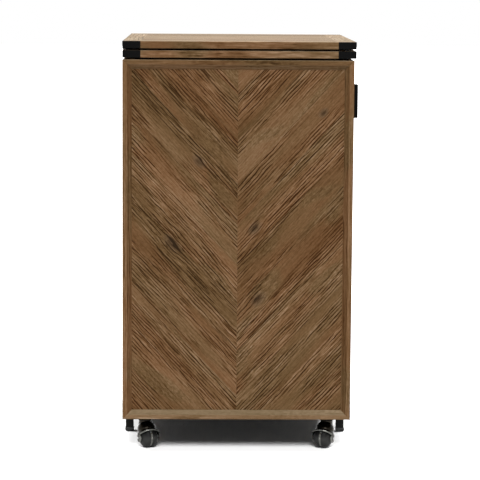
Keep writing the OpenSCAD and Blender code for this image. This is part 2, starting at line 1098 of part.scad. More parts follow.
// All strap screws of a leaf, on the front, rear, left and right edges
module strap_screw_set(drive) {
  mid = leaf_t / 2;
  for (x = [strap_screw_near, strap_screw_far, leaf_w - strap_screw_far, leaf_w - strap_screw_near]) {
    translate([x, 0, mid]) rotate([-90, 0, 0]) strap_screw(drive);
    translate([x, total_d, mid]) rotate([90, 0, 0]) strap_screw(drive);
  }
  for (y = [strap_side_near, strap_screw_far, total_d - strap_screw_far, total_d - strap_side_near]) {
    translate([0, y, mid]) rotate([0, 90, 0]) strap_screw(drive);
    translate([leaf_w, y, mid]) rotate([0, -90, 0]) strap_screw(drive);
  }
}

// Outline of one mitred border board: 0 front, 1 right, 2 back, 3 left
module border_outline(side) {
  g = mitre_gap / 2;
  w = leaf_w;
  d = total_d;
  b = border_w;
  if (side == 0) polygon([[g, 0], [w - g, 0], [w - b - g, b], [b + g, b]]);
  if (side == 1) polygon([[w, g], [w, d - g], [w - b, d - b - g], [w - b, b + g]]);
  if (side == 2) polygon([[g, d], [b + g, d - b], [w - b - g, d - b], [w - g, d]]);
  if (side == 3) polygon([[0, g], [b, b + g], [b, d - b - g], [0, d - g]]);
}

module leaf_border_boards() {
  for (side = [0 : 3])
    difference() {
      intersection() {
        leaf_shape();
        translate([0, 0, -1]) linear_extrude(leaf_t + 2) border_outline(side);
      }
      difference() {
        strap_zones();
        strap_backing();
      }
      strap_screw_set(false);
    }
}

module leaf_centre_panel() {
  block([border_w, border_w, 0], [leaf_w - border_w, total_d - border_w, leaf_t]);
}

module at_lower_leaf() {
  in_frame() translate([leaf_left, 0, lower_leaf_z]) children();
}

module at_upper_leaf() {
  in_frame() translate([leaf_left, 0, upper_leaf_z]) children();
}

module lower_leaf_panel() {
  color(pale_oak) at_lower_leaf() leaf_centre_panel();
}

module upper_leaf_panel() {
  color(pale_oak) at_upper_leaf() leaf_centre_panel();
}

// Places a hinge drawn along +Z so that it runs along the leaf's left edge
module at_leaf_hinges() {
  for (y = [leaf_hinge_inset, total_d - leaf_hinge_inset])
    translate([leaf_axis_x, y + leaf_hinge_l / 2, leaf_axis_z])
      rotate([90, 0, 0])
        children();
}

// The plate that is let into the lower leaf for side = -1, the upper for side = 1
module leaf_hinge_plate(side) {
  near = leaf_gap / 2;
  far = near + leaf_hinge_t;
  scale([1, side, 1])
    block([leaf_axis_out, near, 0], [leaf_axis_out + leaf_hinge_w, far, leaf_hinge_l]);
}

module leaf_hinge_half(side, first) {
  far = leaf_gap / 2 + leaf_hinge_t;
  at_leaf_hinges() {
    difference() {
      union() {
        leaf_hinge_plate(side);
        scale([1, side, 1])
          knuckle_links(
            first, 3, leaf_hinge_l,
            [-leaf_link, 0],
            [leaf_axis_out + leaf_link, far]
          );
      }
      translate([0, 0, -1])
        cylinder(h = leaf_hinge_l + 2, r = leaf_pin_r + running);
      scale([1, side, 1])
        block(
          [leaf_axis_out, -1, -1],
          [leaf_axis_out + leaf_hinge_w, leaf_gap / 2, leaf_hinge_l + 1]
        );
    }
    knuckles(first, 3, leaf_hinge_l, leaf_knuckle_r, leaf_pin_r);
  }
}

module lower_leaf_hinge_plates() {
  color(black_steel) in_frame() leaf_hinge_half(-1, 0);
}

module upper_leaf_hinge_plates() {
  color(black_steel) in_frame() leaf_hinge_half(1, 1);
}

module leaf_hinge_pins() {
  color(bare_steel)
    in_frame()
      at_leaf_hinges()
        hinge_pin(leaf_hinge_l, leaf_pin_r);
}

module lower_leaf_border() {
  color(pale_oak)
    difference() {
      at_lower_leaf() leaf_border_boards();
      in_frame() at_leaf_hinges() leaf_hinge_plate(-1);
    }
}

module upper_leaf_border() {
  color(pale_oak)
    difference() {
      at_upper_leaf() leaf_border_boards();
      in_frame() at_leaf_hinges() leaf_hinge_plate(1);
    }
}

module lower_leaf_straps() {
  color(black_steel) at_lower_leaf() strap_set();
}

module upper_leaf_straps() {
  color(black_steel) at_upper_leaf() strap_set();
}

module lower_strap_screws() {
  color(black_steel) at_lower_leaf() strap_screw_set(true);
}

module upper_strap_screws() {
  color(black_steel) at_upper_leaf() strap_screw_set(true);
}

module leaf_bumpers() {
  color(dark_rubber)
    at_lower_leaf()
      for (y = [bumper_inset, total_d - bumper_inset])
        translate([leaf_w - bumper_inset, y, leaf_t])
          cylinder(h = leaf_gap - move_gap / 2, r = bumper_r);
}

door_panel();
door_frame_top();
door_frame_bottom();
door_frame_left();
door_frame_right();
door_left_side_frame();
door_right_side_frame();
door_side_left();
door_side_right();
door_top_board();
door_bottom_board();
door_shelves();
bottle_rails();
door_handle();
handle_screws();
catch_strikes();
leaf_support_pads();
door_hinge_leaves();
castor_plates();
castor_kingpins();
castor_screws();
left_castor_hood();
right_castor_hood();
left_castor_axle();
right_castor_axle();
left_castor_front_wheel();
left_castor_rear_wheel();
right_castor_front_wheel();
right_castor_rear_wheel();
cabinet_side_left();
cabinet_side_right();
cabinet_top_board();
cabinet_bottom_board();
cabinet_back_board();
cabinet_shelves();
left_side_frame();
right_side_frame();
back_frame();
stemware_rails();
front_left_leg();
front_right_leg();
rear_left_leg();
rear_right_leg();
leg_glides();
catch_magnets();
cabinet_hinge_leaves();
door_hinge_pins();
worktop_spacers();
lower_leaf_panel();
lower_leaf_border();
lower_leaf_straps();
lower_strap_screws();
lower_leaf_hinge_plates();
leaf_hinge_pins();
leaf_bumpers();
upper_leaf_panel();
upper_leaf_border();
upper_leaf_straps();
upper_strap_screws();
upper_leaf_hinge_plates();
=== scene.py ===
"""Looks of the bar cabinet: chevron veneer, oak, black steel and castors, with light and camera."""

import math
import random

import bmesh
import bpy
from mathutils import Matrix, Vector


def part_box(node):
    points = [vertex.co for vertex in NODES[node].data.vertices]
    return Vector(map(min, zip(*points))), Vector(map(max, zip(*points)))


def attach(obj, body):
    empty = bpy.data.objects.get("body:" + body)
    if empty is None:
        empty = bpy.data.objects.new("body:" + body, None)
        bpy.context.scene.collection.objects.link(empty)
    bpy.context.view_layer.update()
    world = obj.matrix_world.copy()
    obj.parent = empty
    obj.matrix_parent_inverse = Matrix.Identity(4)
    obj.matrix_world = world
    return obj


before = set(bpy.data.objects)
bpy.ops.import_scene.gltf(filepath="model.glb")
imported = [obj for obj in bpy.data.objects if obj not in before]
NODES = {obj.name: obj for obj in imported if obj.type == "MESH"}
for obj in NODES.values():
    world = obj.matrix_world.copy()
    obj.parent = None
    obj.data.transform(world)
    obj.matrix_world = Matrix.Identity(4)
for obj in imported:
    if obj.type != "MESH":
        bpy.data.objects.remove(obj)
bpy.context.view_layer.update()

MM = 0.001

# Camera, as fitted to the photograph, in metres and degrees, and how far it sees
CAMERA_PLACE = (-0.09761, -5.67286, 1.25407)
CAMERA_YAW = -1.0154
CAMERA_PITCH = 7.3632
CAMERA_ROLL = 0.3847
CAMERA_REACH = 200.0
IMAGE_PIXELS = 480
FOCAL_PIXELS = 2066.44
SENSOR_MM = 36.0

# Lamps: where each shines from, its level, and how wide it is in degrees. A surface that faces a
# lamp of level 1 shows its colour as it is written. The side lamps stand a little behind the front.
LAMPS = {
    "front_light": ((0.04, -1.0, 1.1), 1.10, 26.0),
    "left_light": ((-1.0, 0.25, 1.65), 0.80, 16.0),
    "right_light": ((1.0, 0.25, 1.65), 0.80, 16.0),
    "top_light": ((0.0, 0.1, 1.0), 0.10, 40.0),
}

# Sky and floor: the level that lights the object, and the level that the camera sees
SKY_LEVEL = 0.15
SKY_SEEN = 1.0
FLOOR_BOUNCE = 0.33
FLOOR_SEEN = 1.06
FLOOR_SIZE = 60.0

# Moulding: how far the chevron panels lie inside the frames
BAND = 24 * MM

# A face counts as flat if its normal keeps this close to an axis
FLAT = 0.98

# Where a castor hood gets a painted highlight, a lighter band along its rim: up to a plane with this
# slope and this rise above the axle, and this far from the middle to the sides, with a soft edge;
# and where its web's edge is, half across and out from the axle
HIGHLIGHT_TILT = math.radians(50)
HIGHLIGHT_RISE = 3.6 * MM
HIGHLIGHT_SIDE = 28.5 * MM
HIGHLIGHT_FADE = 1.5 * MM
WEB_HALF = 2.6 * MM
WEB_FROM = 15 * MM
WEB_TO = 27 * MM

# Veneer planks: their thickness, how deep they lie in the board, the seam between two of them, the
# ease of their edges, the angle of their grain, and their widths
VENEER_T = 0.6 * MM
VENEER_SINK = 0.15 * MM
SEAM = 0.35 * MM
PLANK_EASE = 0.35 * MM
CHEVRON_DEGREES = 47.0
PLANK_MIN = 70 * MM
PLANK_MAX = 84 * MM

# Corners of a plank that lie nearer to each other than this are one corner
SAME_CORNER = 1e-6

# How far apart two planks or boards may have been cut, along and across the grain
GRAIN_ORIGINS = 20.0
GRAIN_SHIFT = 2.0

# Boards of the worktop, and the joints between them
BOARD = 93 * MM
JOINT = 0.8 * MM

# Index of refraction of all the object's surfaces
IOR = 1.45

# Oak: its gloss on faces without shine and its roughness where it is dark. Faces that face up
# have a painted sheen, their own colour strength and hue, where HUE_KEPT leaves a hue as it was.
GLOSS = 0.10
DARK_ROUGH = 0.80
HUE_KEPT = 0.5
SHEEN_SATURATION = 0.85
SHEEN_HUE = 0.514

# Noises of the oak: their scale in cycles a metre along, across and into a board, and their detail,
# roughness and distortion
NOISES = {
    "drift": ((1.6, 8.0, 8.0), 1.0, 0.5, 0.0),
    "ripple": ((18.0, 34.0, 34.0), 1.0, 0.5, 0.0),
    "jitter": ((70.0, 150.0, 150.0), 1.0, 0.5, 0.0),
    "swell": ((1.1, 11.0, 11.0), 1.0, 0.5, 0.0),
    "cluster": ((2.4, 15.0, 15.0), 1.0, 0.5, 0.0),
    "streak": ((17.0, 360.0, 360.0), 2.0, 0.6, 0.0),
    "fibre": ((26.0, 900.0, 900.0), 2.0, 0.6, 0.0),
    "pore": ((70.0, 1500.0, 1500.0), 0.0, 0.5, 0.0),
    "crack": ((9.0, 150.0, 150.0), 1.0, 0.4, 0.3),
    "speck": ((95.0, 230.0, 230.0), 1.0, 0.5, 0.8),
    "figure": ((4.5, 13.0, 13.0), 1.0, 0.5, 0.0),
    "knot_edge": ((160.0, 240.0, 240.0), 1.0, 0.5, 0.0),
    "cloud": ((2.6, 13.0, 13.0), 2.0, 0.5, 0.0),
    "hue": ((2.0, 12.0, 12.0), 2.0, 0.5, 0.0),
}

# Masks: the two values between which each one rises or falls. Those of the rings are shares of a
# ring, those of knots are squares of the distance in radii, and those of the painted sheen and of
# the shine are the upward part of the normal.
RING_RISE = (0.26, 0.52)
RING_FALL = (0.54, 0.72)
STRONG_RING = (0.33, 0.52)
BOLD_RING = (0.54, 0.66)
CLUSTERED = (0.37, 0.52)
OPEN_PORE = (0.60, 0.72)
FIGURED = (0.54, 0.66)
COOL = (0.36, 0.64)
KNOT_CORE = (0.7, 1.9)
KNOT_HALO = (1.5, 6.0)
SHEEN_FACING = (0.4, 0.8)
SHINING = (0.6, 0.9)

# How far apart in the noise two neighbouring rings lie, how soft the edge of a crack is, and what
# specks are measured from and how weak they may be
RING_STEP = 3.73
CRACK_SOFT = 0.05
SPECK_MIDDLE = 0.55
SPECK_LEAST = 0.50

# How far each mark of the oak stands out, against the depth of its look's relief
RELIEF = {
    "line": -0.7, "bold": -0.6, "crack": -1.0, "pore": -0.35, "fibre": 0.35, "streak": 0.6,
    "joint": -1.5,
}

# Knots: how much less a distance along the grain counts, how fast the grain round them settles, how
# far they push it, how ragged they are, how much colour they lose, and the radius below which there
# is no knot. The area of no knot only keeps its division from one by zero.
KNOT_LENGTHWAYS = 0.62
KNOT_SETTLE = -0.28
KNOT_PUSH = -0.72
KNOT_RAGGED = 0.9
KNOT_GREY = 0.12
KNOT_LEAST = 1 * MM
NO_AREA = 1e-8

# Knots of the panels: their share of the planks, their radii, the stretch of a plank that they lie
# in as a share of the panel's width, and those of the photograph's front, each with its place across
# from the middle, its place up from the opening's lower edge, and its radius
KNOT_CHANCE = 0.3
KNOT_MIN = 5 * MM
KNOT_MAX = 10 * MM
KNOT_SPAN = 0.5
FRONT_KNOTS = (
    (-168 * MM, 443 * MM, 11 * MM),
    (45 * MM, 483 * MM, 8 * MM),
    (-100 * MM, 657 * MM, 8 * MM),
    (120 * MM, 580 * MM, 8 * MM),
    (56 * MM, 296 * MM, 9 * MM),
    (222 * MM, 785 * MM, 6 * MM),
)

# Metal, paint and plastic: the scale and detail of their blotches, the values between which these
# turn rougher, and how much lighter and darker they are; and where faces that face down take a
# painted light, as of the white floor below, by the upward part of the normal
BLOTCH_SCALE = 40.0
BLOTCH_DETAIL = 3.0
BLOTCHES = (0.3, 0.7)
BLOTCH_LIGHT = 1.25
BLOTCH_DARK = 0.8
DOWNWARD_LIGHT = (-0.1, 0.5)


def to_linear(byte):
    """A display value from 0 to 255 as linear light, with the numbers of the sRGB standard."""
    c = byte / 255
    return c / 12.92 if c <= 0.04045 else ((c + 0.055) / 1.055) ** 2.4


def colour(r, g, b):
    """A display colour as the linear colour that a shader takes."""
    return (to_linear(r), to_linear(g), to_linear(b), 1.0)


def grey(level):
    return (level, level, level, 1.0)


def scaled(shade, factor):
    """A colour made lighter or darker."""
    return tuple(min(1.0, c * factor) for c in shade[:3]) + (1.0,)


# Shader graphs
class Graph:
    """The nodes of a material or world, with short calls for the ones that are used often."""

    def __init__(self, owner):
        self.owner = owner
        owner.use_nodes = True
        self.nodes = owner.node_tree.nodes
        self.links = owner.node_tree.links
        self.nodes.clear()

    def add(self, kind, **settings):
        node = self.nodes.new(kind)
        for key, value in settings.items():
            setattr(node, key, value)
        return node

    def put(self, socket, value):
        """Links a socket, or sets its default value."""
        if isinstance(value, bpy.types.NodeSocket):
            self.links.new(value, socket)
        elif value is not None:
            socket.default_value = value

    def math(self, operation, a, b=None, c=None):
        node = self.add("ShaderNodeMath", operation=operation)
        for socket, value in zip(node.inputs, (a, b, c)):
            self.put(socket, value)
        return node.outputs[0]

    def square(self, a):
        return self.math("MULTIPLY", a, a)

    def centred(self, noise):
        """A noise around 0 instead of 0.5."""
        return self.math("SUBTRACT", noise, 0.5)

    def vector(self, operation, a, b):
        node = self.add("ShaderNodeVectorMath", operation=operation)
        for socket, value in zip(node.inputs, (a, b)):
            self.put(socket, value)
        return node.outputs[0]

    def split(self, vector):
        node = self.add("ShaderNodeSeparateXYZ")
        self.put(node.inputs[0], vector)
        return node.outputs[0], node.outputs[1], node.outputs[2]

    def join(self, x, y, z):
        node = self.add("ShaderNodeCombineXYZ")
        for socket, value in zip(node.inputs, (x, y, z)):
            self.put(socket, value)
        return node.outputs[0]

    def noise(self, vector, scale, detail=2.0, rough=0.5, distort=0.0):
        """Noise from about 0 to 1 around 0.5, with its scale for each axis in cycles a metre."""
        node = self.add("ShaderNodeTexNoise")
        self.put(node.inputs["Vector"], self.vector("MULTIPLY", vector, scale))
        node.inputs["Scale"].default_value = 1.0
        node.inputs["Detail"].default_value = detail
        node.inputs["Roughness"].default_value = rough
        node.inputs["Distortion"].default_value = distort
        return node.outputs[0]

    def remap(self, value, low, high, out_low=0.0, out_high=1.0, smooth=True):
        node = self.add("ShaderNodeMapRange")
        node.interpolation_type = "SMOOTHSTEP" if smooth else "LINEAR"
        for socket, v in zip(node.inputs, (value, low, high, out_low, out_high)):
            self.put(socket, v)
        return node.outputs[0]

    def mix(self, factor, a, b):
        node = self.add("ShaderNodeMix", data_type="RGBA")
        for name, value in (("Factor", factor), ("A", a), ("B", b)):
            sockets = [s for s in node.inputs if s.name == name and s.enabled]
            self.put(sockets[0], value)
        return next(s for s in node.outputs if s.enabled)

    def ramp(self, value, stops):
        node = self.add("ShaderNodeValToRGB")
        elements = node.color_ramp.elements
        while len(elements) < len(stops):
            elements.new(0.5)
        for element, (place, shade) in zip(elements, stops):
            element.position = place
            element.color = shade
        self.put(node.inputs[0], value)
        return node.outputs[0]

    def attribute(self, name):
        return self.add("ShaderNodeAttribute", attribute_name=name)

    def upward(self):
        """The upward part of the surface's normal, from -1 to 1."""
        return self.split(self.add("ShaderNodeNewGeometry").outputs["Normal"])[2]

    def seen_by(self, *rays):
        """1 for a ray of one of these kinds, and 0 for all others."""
        path = self.add("ShaderNodeLightPath")
        seen = path.outputs[rays[0]]
        for ray in rays[1:]:
            seen = self.math("MAXIMUM", seen, path.outputs[ray])
        return seen

    def bump(self, height, distance):
        node = self.add("ShaderNodeBump")
        node.inputs["Strength"].default_value = 1.0
        node.inputs["Distance"].default_value = distance
        self.put(node.inputs["Height"], height)
        return node.outputs[0]

    def surface(self, base, rough, normal, specular, metallic=0.0):
        shader = self.add("ShaderNodeBsdfPrincipled")
        shader.inputs["Metallic"].default_value = metallic
        shader.inputs["IOR"].default_value = IOR
        for name, value in (("Base Color", base), ("Roughness", rough), ("Normal", normal),
                            ("Specular IOR Level", specular)):
            self.put(shader.inputs[name], value)
        return self.end("Material", shader)

    def end(self, kind, shader):
        """Puts a shader on the output, and returns the material or world."""
        out = self.add(f"ShaderNodeOutput{kind}")
        self.links.new(shader.outputs[0], out.inputs["Surface"])
        return self.owner


# For grain along each axis: the axes along, across and into a board
OBJECT_AXES = {"x": (0, 1, 2), "y": (1, 0, 2), "z": (2, 0, 1)}


def grain_from_axes(graph, axis, shift):
    """Grain along one of the object's axes: the place along, across and into the board, the
    painted shade and light of its faces, and how much of a joint between two boards there is."""
    place = graph.add("ShaderNodeTexCoord").outputs["Object"]
    moved = graph.vector("ADD", place, shift)
    parts = graph.split(moved)
    grain = graph.join(*(parts[i] for i in OBJECT_AXES[axis]))
    return grain, graph.attribute("tone").outputs["Fac"], 0.0


def grain_from_boards(graph, axis, shift):
    """The same for a top of glued boards, each with a grain and a tone of its own."""
    grain, _, _ = grain_from_axes(graph, axis, shift)
    along, across, deep = graph.split(grain)
    board = graph.math("DIVIDE", across, BOARD)
    own = graph.add("ShaderNodeTexWhiteNoise", noise_dimensions="1D")
    graph.put(own.inputs["W"], graph.math("FLOOR", board))
    own = own.outputs["Value"]
    grain = graph.join(graph.math("MULTIPLY_ADD", own, GRAIN_ORIGINS, along),
                       graph.math("MULTIPLY_ADD", own, GRAIN_SHIFT, across), deep)
    part = graph.math("FRACT", board)
    edge = graph.math("MULTIPLY", graph.math("MINIMUM", part, graph.math("SUBTRACT", 1.0, part)), BOARD)
    joint = graph.remap(edge, JOINT / 4, JOINT, 1.0, 0.0)
    return grain, graph.math("MULTIPLY_ADD", own, 2.0, -1.0), joint


def grain_from_planks(graph):
    """The same from the attributes that each veneer plank carries."""
    return graph.attribute("grain").outputs["Vector"], graph.attribute("tone").outputs["Fac"], 0.0


def oak(name, grain_of, look):
    """Brushed oak: growth rings, fibres, pores, cracks and knots, in colour, gloss and relief."""
    graph = Graph(bpy.data.materials.new(name))
    grain, tone, joint = grain_of(graph)
    along, across, deep = graph.split(grain)

    def texture(part):
        return graph.noise(grain, *NOISES[part])

    # A knot pushes the grain apart; its attribute holds where it is and how big
    knot_along, knot_across, knot_r = graph.split(graph.attribute("knot").outputs["Vector"])
    du = graph.math("SUBTRACT", along, knot_along)
    dv = graph.math("SUBTRACT", across, knot_across)
    near = graph.math("ADD", graph.square(graph.math("MULTIPLY", du, KNOT_LENGTHWAYS)), graph.square(dv))
    knot_area = graph.math("ADD", graph.square(knot_r), NO_AREA)
    size = graph.math("DIVIDE", near, knot_area)
    spread = graph.math("EXPONENT", graph.math("MULTIPLY", size, KNOT_SETTLE))
    spread = graph.math("MULTIPLY", spread, graph.math("GREATER_THAN", knot_r, KNOT_LEAST))
    bent = graph.math("MULTIPLY_ADD", graph.math("MULTIPLY", dv, spread), KNOT_PUSH, across)

    # The grain wanders a little from side to side
    for part in ("drift", "ripple", "jitter"):
        bent = graph.math("MULTIPLY_ADD", graph.centred(texture(part)), look[part], bent)

    # Growth rings: each has its own strength, which comes and goes along the board
    swell = texture("swell")
    phase = graph.math("MULTIPLY_ADD", swell, look["swell"], graph.math("DIVIDE", bent, look["ring"]))
    ring = graph.math("FLOOR", phase)
    tooth = graph.math("FRACT", phase)
    rise = graph.remap(tooth, *RING_RISE)
    fall = graph.remap(tooth, *RING_FALL, 1.0, 0.0)
    own = graph.noise(graph.join(graph.math("MULTIPLY", along, look["line_beats"]),
                                 graph.math("MULTIPLY", ring, RING_STEP), deep), (1.0, 1.0, 1.0))
    strong = graph.remap(own, *STRONG_RING)
    bold = graph.remap(own, *BOLD_RING)
    cluster = graph.remap(texture("cluster"), *CLUSTERED, look["calm"], 1.0)
    line = graph.math("MULTIPLY", graph.math("MULTIPLY", rise, fall), cluster)
    bold_line = graph.math("MULTIPLY", line, bold)
    line = graph.math("MULTIPLY", line, strong)

    # Streaks, fibres, pores, long cracks, curly patches and the two parts of a knot
    streak = graph.math("MULTIPLY", graph.centred(texture("streak")), cluster)
    fibre = texture("fibre")
    pore = graph.remap(texture("pore"), *OPEN_PORE)
    crack = graph.remap(texture("crack"), look["crack"], look["crack"] + CRACK_SOFT)
    figured = graph.remap(texture("figure"), *FIGURED)
    speck = graph.math("SUBTRACT", texture("speck"), SPECK_MIDDLE)
    speck = graph.math("MULTIPLY", speck, graph.math("MAXIMUM", figured, SPECK_LEAST))
    ragged = graph.math("MULTIPLY_ADD", texture("knot_edge"), KNOT_RAGGED, size)
    core, halo = (graph.math("MULTIPLY", graph.remap(ragged, *reach, 1.0, 0.0), spread)
                  for reach in (KNOT_CORE, KNOT_HALO))

    # How light each point is, from 0 to 1
    level = look["level"]
    for mark, value in {
        "tone": tone,
        "cloud": graph.centred(texture("cloud")),
        "streak": streak,
        "cluster": cluster,
        "fibre": graph.centred(fibre),
        "speck": speck,
        "line": line,
        "bold": bold_line,
        "crack_dark": graph.math("MULTIPLY", crack, cluster),
        "pore": pore,
        "halo": halo,
        "core": core,
        "joint": joint,
    }.items():
        level = graph.math("MULTIPLY_ADD", value, look[mark], level)

    warm = graph.ramp(level, look["warm"])
    cool = graph.ramp(level, look["cool"])
    hue = graph.remap(texture("hue"), *COOL)
    base = graph.mix(graph.math("MAXIMUM", hue, graph.math("MAXIMUM", halo, figured)), warm, cool)

    # Surfaces that face up get a painted sheen, paler and with a shifted hue, and some of them more shine
    up = graph.upward()
    sheened = graph.add("ShaderNodeHueSaturation")
    graph.put(sheened.inputs["Hue"], graph.remap(up, *SHEEN_FACING, HUE_KEPT, SHEEN_HUE))
    strength = graph.remap(up, *SHEEN_FACING, 1.0, SHEEN_SATURATION)
    graph.put(sheened.inputs["Saturation"], graph.math("MULTIPLY_ADD", halo, -KNOT_GREY, strength))
    graph.put(sheened.inputs["Color"], base)
    gloss = GLOSS
    if "shine" in look:
        gloss = graph.remap(up, *SHINING, GLOSS, look["shine"])

    rough = graph.remap(level, 0.0, 1.0, DARK_ROUGH, look["rough"])
    relief = 0.0
    for mark, value in {"line": line, "bold": bold_line, "crack": crack, "pore": pore,
                        "fibre": fibre, "streak": streak, "joint": joint}.items():
        relief = graph.math("MULTIPLY_ADD", value, RELIEF[mark], relief)
    return graph.surface(sheened.outputs[0], rough, graph.bump(relief, look["relief"]), gloss)


# Looks of the oak: how far the grain wanders and how wide a ring is, in metres; how many rings the
# swell adds; how often a line's strength changes, in cycles a metre; how strong lines are in calm
# patches; how rare cracks are; the level of the wood and what each mark adds to it, where less is
# darker; and its roughness, the depth of its relief, and its two ramps of colour by level. A look
# with a shine has that gloss on the faces that face up.
PANEL_LOOK = {
    "drift": 0.022, "ripple": 0.0070, "jitter": 0.0022, "ring": 0.0070, "swell": 2.4,
    "line_beats": 16.0, "calm": 0.12, "crack": 0.625,
    "level": 0.54, "tone": 0.07, "cloud": 0.60, "streak": 1.15, "cluster": 0.05, "fibre": 0.22,
    "speck": 0.62, "line": -0.66, "bold": -0.60, "crack_dark": -0.34, "pore": -0.08,
    "halo": -0.11, "core": -0.15, "joint": -0.30,
    "rough": 0.58, "relief": 0.5 * MM,
    "warm": ((0.0, colour(44, 22, 2)), (0.28, colour(78, 50, 23)), (0.55, colour(109, 78, 50)),
             (0.80, colour(135, 104, 76)), (1.0, colour(168, 138, 110))),
    "cool": ((0.0, colour(40, 24, 4)), (0.28, colour(74, 52, 26)), (0.55, colour(102, 78, 50)),
             (0.80, colour(129, 103, 76)), (1.0, colour(162, 137, 109))),
}
MOULDING_LOOK = dict(PANEL_LOOK, level=0.595, line=-0.20, bold=-0.12, crack=0.72, cloud=0.25,
                     streak=0.6, tone=0.10, speck=0.45, fibre=0.16, line_beats=10.0)
SILL_LOOK = dict(MOULDING_LOOK, level=0.64, line=-0.28, bold=-0.16, cloud=0.50, streak=1.1,
                 warm=PANEL_LOOK["cool"])
TOP_LOOK = dict(PANEL_LOOK, level=0.585, line=-0.24, bold=-0.13, crack=0.68, cloud=0.36, ring=0.010,
                tone=0.10, shine=0.5, speck=0.45, fibre=0.16, line_beats=10.0)
INSIDE_LOOK = dict(PANEL_LOOK, level=0.64, line=-0.16, bold=-0.06, crack=0.74, cloud=0.22,
                   streak=0.30, speck=0.2, relief=0.2 * MM)


def oak_set(name, look, shift, grain_from=grain_from_axes):
    """The same oak for grain along each of the three axes."""
    return {
        axis: oak(f"{name}_{axis}", lambda graph, a=axis: grain_from(graph, a, shift), look)
        for axis in OBJECT_AXES
    }


def hard_surface(name, shade, rough, spread, grit, relief, metallic=0.0, specular=0.5,
                 highlight_shade=None, dusty=None):
    """Metal, paint or plastic with a slightly uneven gloss and a fine relief. An attribute says where
    it has a lighter shade as a painted highlight, and faces that face down take a lighter shade as
    painted light."""
    graph = Graph(bpy.data.materials.new(name))
    place = graph.add("ShaderNodeTexCoord").outputs["Object"]
    blotch = graph.noise(place, (BLOTCH_SCALE, BLOTCH_SCALE, BLOTCH_SCALE), BLOTCH_DETAIL)
    grain = graph.noise(place, (grit, grit, grit))
    uneven = graph.remap(blotch, *BLOTCHES, rough - spread, rough + spread, smooth=False)
    base = graph.mix(blotch, scaled(shade, BLOTCH_DARK), scaled(shade, BLOTCH_LIGHT))
    # A lighter shade where the attribute says, as a painted highlight
    if highlight_shade:
        base = graph.mix(graph.remap(graph.attribute("polish").outputs["Fac"], 0.0, 1.0), base, highlight_shade)
    # Faces that face down take a lighter shade, a painted light as of the white floor
    if dusty:
        base = graph.mix(graph.remap(graph.upward(), *DOWNWARD_LIGHT, 1.0, 0.0), base, dusty)
    return graph.surface(base, uneven, graph.bump(grain, relief), specular, metallic)


# Materials
# Each shift says where in the oak a set of boards is cut, in metres
MOULDING_SHIFT = (3.1, 1.7, 0.4)
TOP_SHIFT = (5.3, 2.9, 1.1)
INSIDE_SHIFT = (7.7, 4.3, 2.6)
CHEVRON_OAK = oak("chevron_oak", grain_from_planks, PANEL_LOOK)
MOULDING_OAK = oak_set("moulding_oak", MOULDING_LOOK, MOULDING_SHIFT)
SILL_OAK = oak_set("sill_oak", SILL_LOOK, MOULDING_SHIFT)
TOP_OAK = oak_set("worktop_oak", TOP_LOOK, TOP_SHIFT)
TOP_BOARDS = oak_set("worktop_boards", TOP_LOOK, TOP_SHIFT, grain_from_boards)
INSIDE_OAK = oak_set("inside_oak", INSIDE_LOOK, INSIDE_SHIFT)

BLACK_STEEL = hard_surface("black_steel", colour(8, 8, 8), rough=0.50, spread=0.06, grit=900.0,
                           relief=0.05 * MM, specular=0.04)
# The legs take a lighter copy of the black steel: painted light where they stand in shade under the
# cabinet
LIGHTENED_LEG_STEEL = hard_surface("leg_steel_lightened", colour(26, 26, 25), rough=0.50, spread=0.06, grit=900.0,
                         relief=0.05 * MM, specular=0.10)
BARE_STEEL = hard_surface("bare_steel", colour(150, 150, 150), rough=0.34, spread=0.07, grit=1600.0,
                          relief=0.02 * MM, metallic=1.0)
# The hoods' lighter shade is a painted highlight along the rim of each
GUNMETAL = hard_surface("gunmetal", colour(36, 33, 28), rough=0.26, spread=0.04, grit=1200.0,
                        relief=0.01 * MM, metallic=1.0, highlight_shade=colour(97, 97, 93))
SATIN = hard_surface("satin_edge", colour(98, 100, 100), rough=0.45, spread=0.05, grit=1200.0,
                     relief=0.01 * MM, specular=0.3)
# The wheels are darker on top and lighter on faces that face down: painted shade under the hood and
# painted light of the white floor
WHEEL_PLASTIC = hard_surface("wheel_plastic", colour(16, 16, 16), rough=0.50, spread=0.04, grit=700.0,
                             relief=0.02 * MM, specular=0.08, dusty=colour(56, 56, 55))
BASE_PAINT = hard_surface("base_paint", colour(64, 66, 66), rough=0.70, spread=0.05, grit=700.0,
                          relief=0.03 * MM, specular=0.1)
GLIDE_PLASTIC = hard_surface("glide_plastic", colour(26, 26, 26), rough=0.50, spread=0.05, grit=700.0,
                             relief=0.04 * MM)
PAD_RUBBER = hard_surface("pad_rubber", colour(30, 30, 30), rough=0.75, spread=0.05, grit=500.0,
                          relief=0.06 * MM)


def dress(nodes, material):
    """Gives CAD nodes one material."""
    for name in nodes.split():
        slots = NODES[name].data.materials
        slots.clear()
        slots.append(material)


def dress_boards(name, materials, axis_of, flat=0.0, slope=0.0, top=0.0):
    """Gives a CAD node of boards the oak whose grain runs along each board, with a painted shade or
    light for its flat faces, its slopes and its upper faces: -1 is darker and 1 is lighter."""
    mesh = NODES[name].data
    mesh.materials.clear()
    axes = sorted(materials)
    for axis in axes:
        mesh.materials.append(materials[axis])
    face_shades = mesh.attributes.new("tone", "FLOAT", "FACE").data
    for polygon in mesh.polygons:
        polygon.material_index = axes.index(axis_of(polygon.center))
        is_flat = max(abs(part) for part in polygon.normal) > FLAT
        faces_up = polygon.normal.z > FLAT
        face_shades[polygon.index].value = top if faces_up else flat if is_flat else slope


def along(axis):
    """For a plain board: the same axis everywhere."""
    return lambda centre: axis


def around(node, first, second):
    """For a mitred frame: the axis of the nearest edge, where first and second are its two axes."""
    low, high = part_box(node)
    i, j = "xyz".index(first), "xyz".index(second)

    def axis_of(centre):
        to_first = min(centre[j] - low[j], high[j] - centre[j])
        to_second = min(centre[i] - low[i], high[i] - centre[i])
        return first if to_first < to_second else second

    return axis_of
